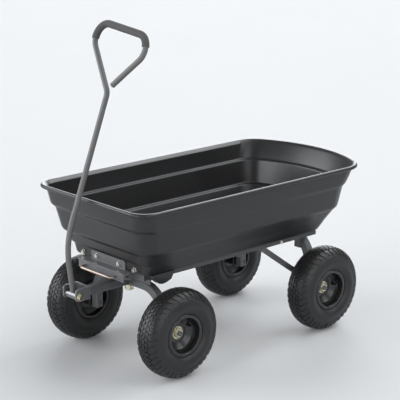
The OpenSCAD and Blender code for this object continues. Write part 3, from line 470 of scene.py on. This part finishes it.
# Height, and how far each level stands in from the rim at the sides, the front and the rear
outside = [
    (298, 95, 95, 142), (298, 75, 75, 122), (329, 62.6, 75, 96.2), (332, 61.4, 62, 93.8),
    (363, 45, 53, 68), (371, 38, 41, 56), (438, 20.5, 28, 45), (446, 15.5, 16, 33), (493, 7, 7, 7),
]
inside = [
    (302.5, 95, 95, 142), (302.5, 75, 75, 122), (331.7, 62.6, 75, 96.2), (334.7, 61.4, 62, 93.8),
    (370.3, 49, 53, 71), (372, 37, 41, 61), (445.3, 26, 28, 44), (447, 14, 16, 33), (495.7, 7, 7, 7),
]
outside_soft, inside_soft = 9, 5
bow_r, front_corner, rear_corner = 420, 56, 80
front_tighten, rear_tighten = 0.25, 0.3
skirt_front, skirt_corner = 75, 28


def cornered(z, side, front, rear):
    """Adds a level's front corner radius. The skirt under the front wall has tighter corners."""
    corner = skirt_corner if front >= skirt_front else front_corner - front_tighten * side
    return z, side, front, rear, corner


def soften(levels, radius, steps=4, most=0.45):
    """Turns each corner of a run of levels into a curve, over at most this share of its sides."""
    levels = [Vector(level) for level in levels]
    soft = [levels[0]]
    for before, corner, after in zip(levels, levels[1:], levels[2:]):
        start = corner + (before - corner) * min(most, radius / (before - corner).length)
        end = corner + (after - corner) * min(most, radius / (after - corner).length)
        for i in range(steps + 1):
            t = i / steps
            soft.append(start * (1 - t) ** 2 + corner * (2 * t * (1 - t)) + end * t ** 2)
    return soft + [levels[-1]]


outside_levels = soften([cornered(*level) for level in outside], outside_soft)
inside_levels = soften([cornered(*level) for level in inside], inside_soft)
print(len(outside_levels), "levels outside and", len(inside_levels), "inside")

# %% Loops of the tub
front_cuts, corner_cuts, side_cuts, tail_cuts = 6, 12, 10, 12
rim_from, rim_step, rim_count = -120, 15, 17


def arc(x, y, r, start, end, count):
    """Points along an arc, in degrees."""
    turns = [math.radians(start + (end - start) * i / count) for i in range(count + 1)]
    return [(x + r * math.cos(a), y + r * math.sin(a)) for a in turns]


def tub_loop(level, inner=0.0):
    """One level seen from above: straight front and sides, round corners and a bowed tail."""
    z, side, front, rear, corner = level
    w, f, r = half_w - side - inner, tub_front - front - inner, -(tub_rear - rear - inner)
    cf, cr, bow = corner - inner, rear_corner - rear_tighten * side - inner, bow_r - inner
    bow_x = r + bow
    cr_x = bow_x - math.sqrt((bow - cr) ** 2 - (w - cr) ** 2)
    meet = math.degrees(math.atan2(w - cr, cr_x - bow_x))
    half = [(f, (w - cf) * i / front_cuts) for i in range(front_cuts)]
    half += arc(f - cf, w - cf, cf, 0, 90, corner_cuts)
    half += [(f - cf + (cr_x - f + cf) * i / side_cuts, w) for i in range(1, side_cuts)]
    half += arc(cr_x, w - cr, cr, 90, meet, corner_cuts)
    half += arc(bow_x, 0, bow, meet, 180, tail_cuts)[1:]
    loop = half + [(x, -y) for x, y in reversed(half[1:-1])]
    return [Vector(((x + mid_x) * MM, y * MM, z * MM)) for x, y in loop]


loops = [tub_loop(level) for level in outside_levels]
for i in range(rim_count):
    a = math.radians(rim_from + rim_step * i)
    inset = -rim_r * math.cos(a)
    loops.append(tub_loop(cornered(rim_z + rim_r * math.sin(a), inset, inset, inset)))
loops += [tub_loop(level, wall) for level in reversed(inside_levels)]
print(len(loops), "loops of", len(loops[0]), "points")


# %% Extrude the tub from loop to loop
def grow(piece, old, new):
    """Extrudes the selected loop in place and moves its points to their new places."""
    bpy.ops.mesh.extrude_edges_move()
    tree = KDTree(len(old))
    for i, point in enumerate(old):
        tree.insert(point, i)
    tree.balance()
    mesh = bmesh.from_edit_mesh(piece.data)
    for vertex in mesh.verts:
        if vertex.select:
            vertex.co = new[tree.find(vertex.co)[1]]
    bmesh.update_edit_mesh(piece.data)


only()
bpy.ops.mesh.primitive_circle_add(vertices=len(loops[0]), radius=half_w * MM)
tub = bpy.context.object
for vertex, point in zip(tub.data.vertices, loops[0]):
    vertex.co = point
edit()
bpy.ops.mesh.edge_face_add()
for old, new in zip(loops, loops[1:]):
    grow(tub, old, new)
bpy.ops.mesh.edge_face_add()
settle(tub, "tub_shell")
fit(tub, "tub", "tub_plastic", "tub")

# %% [markdown]
# ## Tyres
#
# A cart tyre is a squared-off ring of rubber with a broad swell and a thin raised line on each
# sidewall, heavy lugs on its shoulders and four rows of small slanted blocks in the middle. The
# carcass is a closed section drawn point by point and spun round the axle. A block is a small grid,
# extruded and tapered like a real one, laid on the curve of the carcass and then copied round it
# with Spin.

# %% Section of the tyre
tyre_low, tyre_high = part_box("tyre_front_left")
wheel = (tyre_low + tyre_high) / 2
tyre_r, tyre_half, tread_depth, section_r, skin_t = 130, 42, 2.4, 88, 6
squareness = 0.84
# The height, middle radius and half width of each raised ring
rings = ((2.8, 82, 18), (1.0, 104, 5))
bead = [(53.5, 18), (53.5, 30.4), (63.3, 34.7), (63.6, 36.5)]


def blunt(v):
    """A circle's sine or cosine, pushed out towards the corners of a square."""
    return math.copysign(abs(v) ** squareness, v)


def swell(r, middle, width):
    """A smooth raised line on the sidewall, 1 at its middle and 0 at its edges."""
    return max(0.0, 1 - ((r - middle) / width) ** 2) ** 2


def carcass(angle, skin=0.0):
    """A point of the section as radius and distance from the wheel's middle."""
    a = math.radians(angle)
    reach = (tyre_r - section_r - tread_depth if math.sin(a) > 0 else tyre_r - section_r) - skin
    r = section_r + reach * blunt(math.sin(a))
    ring = sum(tall * swell(r, *spot) for tall, *spot in rings) if skin == 0 else 0
    return r, (tyre_half - skin) * blunt(math.cos(a)) + math.copysign(ring, math.cos(a))


# Up one sidewall to the crown, down the other one, and back along the inside, in degrees
half_section = bead + [carcass(angle) for angle in range(-24, 90, 2)]
section = half_section + [carcass(90)] + [(r, -z) for r, z in reversed(half_section)]
section += [carcass(angle, skin_t) for angle in range(220, -41, -13)]
print("section of", len(section), "points")

# %% Draw and spin the carcass
tyre_steps = 96


def draw_line(points):
    """Starts from one vertex and extrudes it from point to point, as a profile is drawn by hand."""
    only()
    bpy.ops.mesh.primitive_plane_add(size=MM)
    line = bpy.context.object
    edit()
    bpy.ops.mesh.merge(type="CENTER")
    bpy.ops.transform.translate(value=points[0])
    for a, b in zip(points, points[1:]):
        bpy.ops.mesh.extrude_vertices_move(TRANSFORM_OT_translate={"value": b - a})
    bpy.ops.mesh.select_all(action="SELECT")
    return line


def on_wheel(r, z, angle=0.0):
    """A place on the front left wheel, from a radius, a distance outwards and an angle."""
    return wheel + Vector((r * math.cos(angle), z, r * math.sin(angle))) * MM


def spin_wheel(steps):
    """Spins what is selected once round the axle and closes the seam."""
    bpy.ops.mesh.spin(steps=steps, angle=2 * math.pi, center=wheel, axis=(0, 1, 0))
    bpy.ops.mesh.select_all(action="SELECT")
    bpy.ops.mesh.remove_doubles(threshold=seam)


tyre = draw_line([on_wheel(r, z) for r, z in section + section[:1]])
spin_wheel(tyre_steps)
settle(tyre, "tyre_carcass", 40)

# %% Lay a block on the tread
crown = [carcass(half_degrees / 2) for half_degrees in range(180, -20, -1)]
run = [0.0]
for (r0, z0), (r1, z1) in zip(crown, crown[1:]):
    run.append(run[-1] + math.hypot(r1 - r0, z1 - z0))


def on_tread(along, across, height):
    """Lays a point of a flat block on the tread: along it, across it from the middle, and up."""
    i = max(k for k in range(len(run) - 1) if run[k] <= abs(across) or k == 0)
    share = (abs(across) - run[i]) / (run[i + 1] - run[i])
    (r0, z0), (r1, z1) = crown[i], crown[i + 1]
    out = Vector((z1 - z0, r0 - r1)).normalized()
    r = r0 + (r1 - r0) * share + height * out.x
    z = z0 + (z1 - z0) * share + height * out.y
    return on_wheel(r, math.copysign(z, across), along / (tyre_r - tread_depth))


print("from the tread's middle to its edge:", round(run[-1], 1), "mm")

# %% Rows of blocks
block_root, block_top = -1.2, (0.84, 0.9, 1)


def tread_row(name, count, length, low, high, side, slant, turn, tall, taper, cells):
    """Models one block, wraps it on the tread, and spins copies of it round the tyre."""
    only()
    bpy.ops.mesh.primitive_grid_add(x_subdivisions=cells[0], y_subdivisions=cells[1], size=1)
    row = bpy.context.object
    edit()
    bpy.ops.mesh.extrude_region_move(TRANSFORM_OT_translate={"value": (0, 0, 1)})
    bpy.ops.transform.resize(value=block_top)
    mesh = bmesh.from_edit_mesh(row.data)
    for vertex in mesh.verts:
        x, y, z = vertex.co
        share = y + 0.5
        across = low + (high - low) * share
        along = x * length * (1 - taper * share)
        along += slant * math.sin(2 * math.pi * (share - 0.5)) / 2
        along += slant * (share - 0.5) + turn
        rise = block_root if z < 0.5 else tall[0] + (tall[1] - tall[0]) * share ** 2
        vertex.co = on_tread(along, side * across, rise)
    bmesh.update_edit_mesh(row.data)
    bpy.ops.mesh.select_all(action="SELECT")
    pitch = 2 * math.pi / count
    bpy.ops.mesh.spin(
        steps=count - 1, dupli=True, angle=pitch * (count - 1), center=wheel, axis=(0, 1, 0))
    return settle(row, name, 30)


rows = []
for side in (-1, 1):
    # Name, count, length, inner and outer edge, side, slant, turn, heights, taper and grid
    for row in (
        ("inner_row", 52, 11.5, 1.2, 9.6, side, 3 * side, 4 * side, (2.4, 2.4), 0.0, (2, 3)),
        ("outer_row", 52, 11.5, 11.2, 19.6, side, -3 * side, 0, (2.4, 2.4), 0.0, (2, 3)),
        ("long_lugs", 20, 15, 21.2, 50, side, 5 * side, 9 * side, (2.5, 1.5), 0.15, (2, 6)),
        ("short_lugs", 20, 15, 21.2, 43, side, 5 * side, 9 * side + 20, (2.5, 1.8), 0.15, (2, 5)),
    ):
        rows.append(tread_row(*row))
tyre = join(*rows, tyre)
print("tyre of", len(tyre.data.polygons), "faces")

# %% [markdown]
# ## Rims
#
# Each rim is two pressed steel dishes, back to back round the hub, with a cone, a seat for the
# tyre's bead and a broad flange that turns in sharply at its inner edge. A pressing has the same
# thickness everywhere, so only its middle line is drawn. It is spun round the axle, and Solidify
# gives it its thickness.

# %% Spin the two dishes
sheet_t, sheet_edge, bend_r, bend_steps, dish_steps = 1.5, 0.5, 1.2, 5, 72
hub_r = 22.8
lip = [(52.2, 18.4), (52.2, 36.2), (54.4, 37.5), (59.6, 36.7), (61.6, 35.0)]


def dish(name, line):
    """Rounds the bends of a middle line, spins it and gives the sheet its thickness."""
    made = draw_line([on_wheel(r, z) for r, z in soften(line, bend_r, bend_steps)])
    spin_wheel(dish_steps)
    settle(made, name)
    shape(made, "SOLIDIFY", thickness=sheet_t * MM, offset=0, use_even_offset=True)
    take_off_edges(made, sheet_edge, 2)
    return settle(made, name)


outer_dish = dish("rim_outer_dish", [(hub_r, 0), (30, 0), (47.5, 10)] + lip)
inner_dish = dish("rim_inner_dish", [(hub_r, -9.8), (31.6, -9.8)] + [(r, -z) for r, z in lip])

# %% Copy the wheel to the four corners
for corner in ("front_right", "rear_left", "rear_right", "front_left"):
    low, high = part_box("tyre_" + corner)
    move = (low + high) / 2 - wheel
    about = wheel if corner.endswith("right") else None
    for piece, name, slot, solid in (
        (tyre, "treaded_tyre", "tyre", "tyre"),
        (outer_dish, "pressed_rim_outer", "rim_paint", "rim_outer"),
        (inner_dish, "pressed_rim_inner", "rim_paint", "rim_inner"),
    ):
        twin = copy_to(piece, name + "_" + corner, move, about)
        fit(twin, "wheel_" + corner, slot, solid + "_" + corner)
for pattern in (tyre, outer_dish, inner_dish):
    bpy.data.objects.remove(pattern)
print("wheels fitted at four corners")

# %% [markdown]
# ## Handle
#
# The handle is one long tube, bent four times: a gentle sweep out of its pivot, a kink to the side,
# and two tight bends that bring the end back beside the shaft. It is made as a tube bender makes
# it: a circle is extruded for each straight run and spun for each bend, while a small frame of
# reference travels along. The grip is the same path, a little thicker, from part way round one
# tight bend to part way round the other.

# %% Travel along the bends
handle_pivot = Vector(((498 + mid_x) * MM, 0, 235 * MM))
lower_lean = 8
# A straight run is its length; a bend is its angle, its radius and the side that it turns to
first_bend, second_bend, loop_r, bare, held = 136.6, 129.4, 42, 0.25, 0.55
handle_steps = [
    (91,), (28.9, 247, 180), (359,), (41, 32, -90), (146,),
    (bare * first_bend, loop_r, 90), ((1 - bare) * first_bend, loop_r, 90), (137,),
    (held * second_bend, loop_r, 90), ((1 - held) * second_bend, loop_r, 90), (112,),
]


def turn_about(axis, degrees):
    """A turn about one of the axes."""
    return Matrix.Rotation(math.radians(degrees), 4, axis)


def travel(spot, step):
    """The frame of reference after one run or bend."""
    if len(step) == 1:
        return spot @ Matrix.Translation((0, 0, step[0] * MM))
    angle, r, side = step
    reach = Vector((r * MM, 0, 0))
    swing = Matrix.Translation(reach) @ turn_about("Y", angle) @ Matrix.Translation(-reach)
    return spot @ turn_about("Z", side) @ swing @ turn_about("Z", -side)


spots = [Matrix.Translation(handle_pivot) @ turn_about("Y", lower_lean)]
for step in handle_steps:
    spots.append(travel(spots[-1], step))
print("handle ends at", [round(v, 3) for v in spots[-1].translation])

# %% Bend a tube
tube_sides, steps_per_turn, fewest_steps = 32, 90, 4


def tube_end(spot, r):
    """Adds the circle that a tube starts from, square to its path."""
    only()
    bpy.ops.mesh.primitive_circle_add(vertices=tube_sides, radius=r * MM)
    made = bpy.context.object
    made.matrix_world = spot
    bpy.ops.object.transform_apply(location=True, rotation=True, scale=True)
    edit()
    return made


def bend_tube(spot, step):
    """Extrudes or spins the selected end of a tube along one run or bend."""
    if len(step) == 1:
        bpy.ops.mesh.extrude_edges_move(
            TRANSFORM_OT_translate={"value": spot.to_3x3() @ Vector((0, 0, step[0] * MM))})
        return
    angle, r, side = step
    local = spot @ turn_about("Z", side)
    bpy.ops.mesh.spin(
        steps=max(fewest_steps, round(angle / 360 * steps_per_turn)), angle=-math.radians(angle),
        center=local @ Vector((r * MM, 0, 0)), axis=local.to_3x3() @ Vector((0, 1, 0)))


# %% Tube
# The tube starts on the outside of its bush
tube_r, tube_wall, saddle = 8, 1.8, 9.6
first = spots[0] @ Matrix.Translation((0, 0, saddle * MM))
tube = tube_end(first, tube_r)
bend_tube(first, (handle_steps[0][0] - saddle,))
for spot, step in zip(spots[1:], handle_steps[1:]):
    bend_tube(spot, step)
settle(tube, "bent_handle")
shape(tube, "SOLIDIFY", thickness=tube_wall * MM, offset=-1)
settle(tube, "bent_handle")
fit(tube, "handle", "handle_paint", "handle_tube")

# %% Grip
bore_r, grip_r, grip_edge = 8.05, 10.6, 1.2
# The grip covers these steps of the handle
held_from, held_to = 6, 9
sleeve = tube_end(spots[held_from], bore_r)
bpy.ops.mesh.extrude_edges_move()
bpy.ops.transform.resize(
    value=(grip_r / bore_r,) * 3, center_override=spots[held_from].translation)
for spot, step in zip(spots[held_from:held_to], handle_steps[held_from:held_to]):
    bend_tube(spot, step)
bpy.ops.mesh.extrude_edges_move()
bpy.ops.transform.resize(value=(bore_r / grip_r,) * 3, center_override=spots[held_to].translation)
settle(sleeve, "foam_sleeve")
take_off_edges(sleeve, grip_edge, 3)
settle(sleeve, "foam_sleeve")
fit(sleeve, "handle", "grip", "handle_grip")

# %% End cap
cap_r = 8.3
cap_low, cap_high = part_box("handle_end_cap")
print("end cap from", [round(v, 4) for v in cap_low], "to", [round(v, 4) for v in cap_high])
cap = tube_end(spots[-1], cap_r)
bpy.ops.mesh.edge_face_add()
# Each step goes this far out and narrows to this share
for out, share in ((2.2, 1.0), (1.1, 0.93), (0.7, 0.8)):
    bpy.ops.mesh.extrude_region_move(
        TRANSFORM_OT_translate={"value": spots[-1].to_3x3() @ Vector((0, 0, out * MM))})
    bpy.ops.transform.resize(value=(share,) * 3)
settle(cap, "plugged_end")
fit(cap, "handle", "handle_paint", "handle_end_cap")

# %% [markdown]
# ## Bail springs
#
# Two small coil springs push the bail's pins into the keeper bar. A coil is a round wire that turns
# and climbs at once, which is what the Screw modifier does to one small circle. A pull on the bail
# squeezes the springs against the lip, so on the real cart they shorten as far as the bail travels.

# %% Wind the springs
spring_low, spring_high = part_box("bail_springs")
coil_r, wire_r, turns, wire_sides, turn_steps = 6.0, 0.8, 6, 10, 24
spring_y = spring_high.y - (coil_r + wire_r) * MM
spring_z = (spring_low.z + spring_high.z) / 2
spring_len = spring_high.x - spring_low.x - 2 * wire_r * MM
only()
bpy.ops.mesh.primitive_circle_add(
    vertices=wire_sides, radius=wire_r * MM, location=(0, 0, coil_r * MM),
    rotation=(math.pi / 2, 0, 0))
coil = bpy.context.object
bpy.ops.object.transform_apply(location=True, rotation=True, scale=True)
shape(coil, "SCREW", axis="X", angle=2 * math.pi, screw_offset=spring_len / turns,
      iterations=turns, steps=turn_steps, render_steps=turn_steps, use_merge_vertices=True)
edit()
bpy.ops.mesh.fill_holes(sides=0)
bpy.ops.transform.translate(value=(spring_low.x + wire_r * MM, spring_y, spring_z))
settle(coil, "bail_coils", 60)
join(copy_to(coil, "coil_twin", (0, -2 * spring_y, 0)), coil)
fit(coil, "release_bail", "zinc", "bail_springs")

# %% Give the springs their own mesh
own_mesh(coil)

# %% [markdown]
# ## Axle nuts and pivot bolt
#
# Each wheel is held by a wide washer and a lock nut with a round collar, and the handle swings on a
# bolt with a washer under its head. Washers and nuts start as cylinders, some with six sides, and a
# bevel takes off their edges as the real forging does. The collar's end face is inset and pushed
# in, because the axle's end sits deep in it.


# %% Turn a bar
def turned(name, sides, r, start, length, bevel, middle=wheel):
    """A short round or six-sided bar across the cart, with its edges taken off."""
    only()
    bpy.ops.mesh.primitive_cylinder_add(
        vertices=sides, radius=r * MM, depth=length * MM, rotation=(math.pi / 2, 0, 0),
        location=(middle.x, (start + length / 2) * MM, middle.z))
    made = bpy.context.object
    settle(made, name)
    take_off_edges(made, bevel, 3)
    return settle(made, name)


# %% Washer, nut and collar
nut_low, nut_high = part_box("front_axle_nuts")
print("axle nuts from", [round(v, 4) for v in nut_low], "to", [round(v, 4) for v in nut_high])
washer_gap, washer_r, washer_t = 0.3, 19.5, 2
nut_across, nut_t = 27, 5.4
collar_r, collar_out, collar_t, collar_wall, collar_depth = 12.2, 6.8, 3.2, 4.0, 2.6
washer_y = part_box("hub_front_left")[1].y / MM + washer_gap
# Name, sides, radius, start, length and bevel
washer = turned("washer", 48, washer_r, washer_y, washer_t, 0.7)
nut = turned("nut", 6, nut_across / math.sqrt(3), washer_y + washer_t, nut_t, 1.3)
collar = turned("collar", 40, collar_r, washer_y + collar_out, collar_t, 0.9)
edit("DESELECT")
collar_mesh = bmesh.from_edit_mesh(collar.data)
outer_end = max(collar_mesh.faces, key=lambda face: face.calc_center_median().y)
outer_end.select_set(True)
bpy.ops.mesh.inset(thickness=collar_wall * MM, depth=0)
bpy.ops.mesh.extrude_region_move(TRANSFORM_OT_translate={"value": (0, -collar_depth * MM, 0)})
settle(collar, "collar")
left_nut = join(collar, nut, washer)

# %% A pair of nuts for each axle
for axle, body in (("front", "front_axle"), ("rear", "chassis")):
    low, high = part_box(axle + "_axle_nuts")
    middle = (low + high) / 2
    pair = copy_to(left_nut, axle + "_lock_nuts", (middle.x - wheel.x, 0, 0))
    join(copy_to(pair, "far_nut", (0, 0, 0), Vector((middle.x, 0, middle.z))), pair)
    fit(pair, body, "yellow_zinc", axle + "_axle_nuts")
    print(pair.name, len(pair.data.polygons), "faces")
bpy.data.objects.remove(left_nut)

# %% Pivot bolt of the handle
shank_r, small_washer_r, small_washer_t, head_across, head_t = 5, 12, 2, 17, 5.5
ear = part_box("clevis")[1].y / MM
bolt_low, bolt_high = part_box("handle_pivot_bolt")
pivot = (bolt_low + bolt_high) / 2
shank = turned("shank", 24, shank_r, -ear, 2 * ear, 0.3, pivot)
washer = turned("washer", 40, small_washer_r, ear, small_washer_t, 0.6, pivot)
head = turned("head", 6, head_across / math.sqrt(3), ear + small_washer_t, head_t, 1.2, pivot)
join(washer, head)
bolt = join(shank, copy_to(head, "far_head", (0, 0, 0), pivot), head)
settle(bolt, "washered_pivot_bolt")
fit(bolt, "front_axle", "yellow_zinc", "handle_pivot_bolt")

# %% [markdown]
# ## Finishes of the solid parts
#
# The rails, axles, brackets, bolts and pins are right as they are. Each one takes the finish of its
# own material slot, apart from a few: the handle's bush is bare metal, the bail has a warm plating,
# the ends of the axles and the braces' bolts were painted over, and the tub's rails take a darker
# copy of the frame paint, as painted shade under the tub.

# %% Dress the solid parts
own_finish = {
    "handle_bush": "bare_steel", "release_bail": "warm_zinc", "brace_bolts": "frame_paint",
    "front_axle_stubs": "frame_paint", "rear_axle_stubs": "frame_paint",
    "bed_rail_left": "shaded_frame_paint", "bed_rail_right": "shaded_frame_paint",
}
for name, part in solids.items():
    for place in part.material_slots:
        place.material = finishes[own_finish.get(name, place.material.name.split(".")[0])]
print("dressed", len(solids), "solid parts")

# %% [markdown]
# ## Size
#
# The dressed cart must be as big as the solid one. Both boxes are printed side by side.

# %% Print both boxes
dressed_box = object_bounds()
for axis, a, b, c, d in zip("xyz", solid_box[0], solid_box[1], *dressed_box):
    print(axis, "solid", round(a, 4), round(b, 4), "dressed", round(c, 4), round(d, 4))
